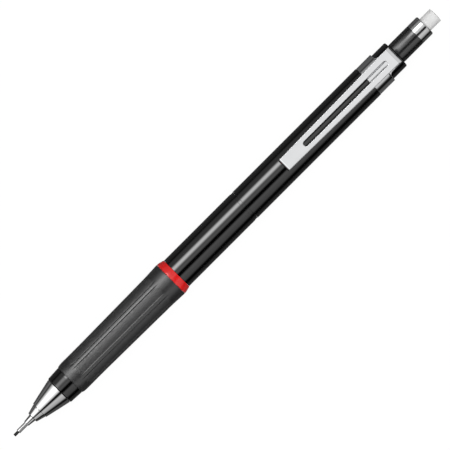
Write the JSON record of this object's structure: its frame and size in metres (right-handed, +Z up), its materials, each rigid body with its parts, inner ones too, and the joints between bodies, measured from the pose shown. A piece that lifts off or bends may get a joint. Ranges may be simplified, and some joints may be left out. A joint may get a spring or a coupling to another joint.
{
  "type": "mechanical pencil",
  "caption": "Mechanical pencil with a screw-on chrome nose, panelled rubber grip, slotted pocket clip and a push button that carries a white eraser.",
  "frame": {"origin": "middle of the pencil's length, at the height of its lowest point when it lies with the clip up", "axes": "+X from the tip to the eraser, +Z up through the clip, pencil's axis parallel to X at z = 4.875 mm"},
  "size_m": [0.145, 0.0098, 0.0114],
  "materials": {
    "graphite": "matte dark graphite",
    "sleeve_steel": "polished steel tube",
    "nose_chrome": "mirror chrome plating",
    "ferrule_chrome": "mirror chrome plating",
    "clip_metal": "satin plated sheet steel",
    "black_gloss": "glossy black plastic",
    "accent_red": "satin red plastic",
    "grip_rubber": "matte dark grey rubber, stippled in the panels",
    "button_black": "satin black plastic",
    "eraser_white": "matte white eraser",
    "brass": "turned brass",
    "tube_plastic": "natural plastic",
    "spring_steel": "bright drawn wire",
    "retainer_rubber": "black rubber"
  },
  "bodies": {
    "barrel": {"front_barrel": "black_gloss", "rear_barrel": "black_gloss", "nose_collar": "black_gloss", "grip_sleeve": "grip_rubber", "accent_ring": "accent_red", "clip_band": "clip_metal", "clutch_housing": "tube_plastic", "chuck_spring": "spring_steel"},
    "feed": {"push_button": "button_black", "button_ferrule": "ferrule_chrome", "lead_tube": "tube_plastic", "chuck_connector": "brass", "chuck": "brass", "spare_lead_1": "graphite", "spare_lead_2": "graphite", "spare_lead_3": "graphite"},
    "clutch": {"clutch_ring": "brass"},
    "lead": {"lead": "graphite"},
    "eraser": {"eraser": "eraser_white"},
    "clip": {"clip_arm": "clip_metal"},
    "retainer": {"lead_retainer": "retainer_rubber"},
    "nose": {"tip_cone": "nose_chrome", "lead_sleeve": "sleeve_steel"}
  },
  "joints": [
    {"name": "button_press", "type": "slide", "parent": "barrel", "child": "feed", "axis": [-1, 0, 0], "range_m": [0, 0.0035], "stiffness_N_per_m": 1200, "springref_m": -0.002, "deforming": ["chuck_spring"]},
    {"name": "ring_follow", "type": "slide", "parent": "barrel", "child": "clutch", "axis": [-1, 0, 0], "range_m": [0, 0.0007]},
    {"name": "lead_feed", "type": "slide", "parent": "clutch", "child": "lead", "axis": [-1, 0, 0], "range_m": [-0.0013, 0.003]},
    {"name": "eraser_pull", "type": "slide", "parent": "feed", "child": "eraser", "axis": [1, 0, 0], "range_m": [0, 0.008]},
    {"name": "clip_flex", "type": "hinge", "parent": "barrel", "child": "clip", "pos_m": [0.05735, 0, 0.0101], "axis": [0, 1, 0], "range_deg": [0, 5], "stiffness_Nm_per_rad": 1.7},
    {"name": "tip_advance", "type": "slide", "parent": "barrel", "child": "retainer", "axis": [-1, 0, 0], "range_m": [0, 0.0032]},
    {"name": "tip_turn", "type": "hinge", "parent": "retainer", "child": "nose", "pos_m": [-0.06, 0, 0.00487], "axis": [-1, 0, 0], "range_deg": [0, 1440]}
  ],
  "couplings": [
    {"joint": "ring_follow", "follows": "button_press", "ratio": 0.2},
    {"joint": "tip_turn", "follows": "tip_advance", "rad_per_m": 7854}
  ]
}
